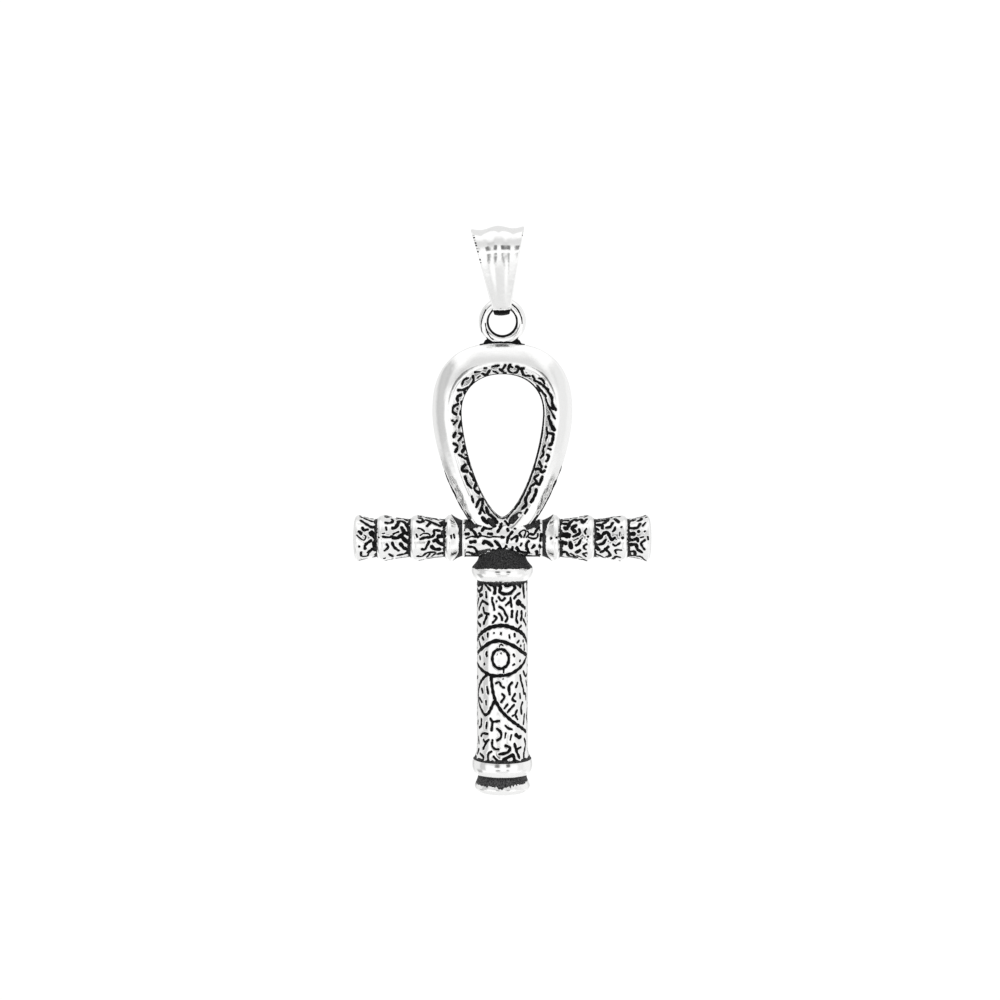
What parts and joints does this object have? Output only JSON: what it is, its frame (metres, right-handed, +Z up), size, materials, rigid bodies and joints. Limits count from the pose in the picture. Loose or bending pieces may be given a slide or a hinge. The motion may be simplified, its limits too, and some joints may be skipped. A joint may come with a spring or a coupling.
{
  "type": "ankh pendant",
  "caption": "Ankh pendant with ringed arms, a round shaft engraved with an eye, and an eyelet hanging in a tapered, fluted bail.",
  "frame": {"origin": "the place under the bail's fold where a chain bears", "axes": "+Z up, the pendant hanging; +X along the chain and the crossbar; -Y out of the engraved front"},
  "size_m": [0.0312, 0.0064, 0.0596],
  "materials": {
    "polished_steel": "bright polished",
    "cast_steel": "bright polished, blackened in its grooves and coves"
  },
  "bodies": {
    "bail": {"bail": "polished_steel"},
    "ankh": {"ankh": "cast_steel"}
  },
  "joints": [
    {"name": "swing", "type": "hinge", "parent": "bail", "child": "ankh", "pos_m": [0.0004, 0, -0.00766], "axis": [0.9986, 0, 0.0523], "range_deg": [-60, 60]}
  ]
}
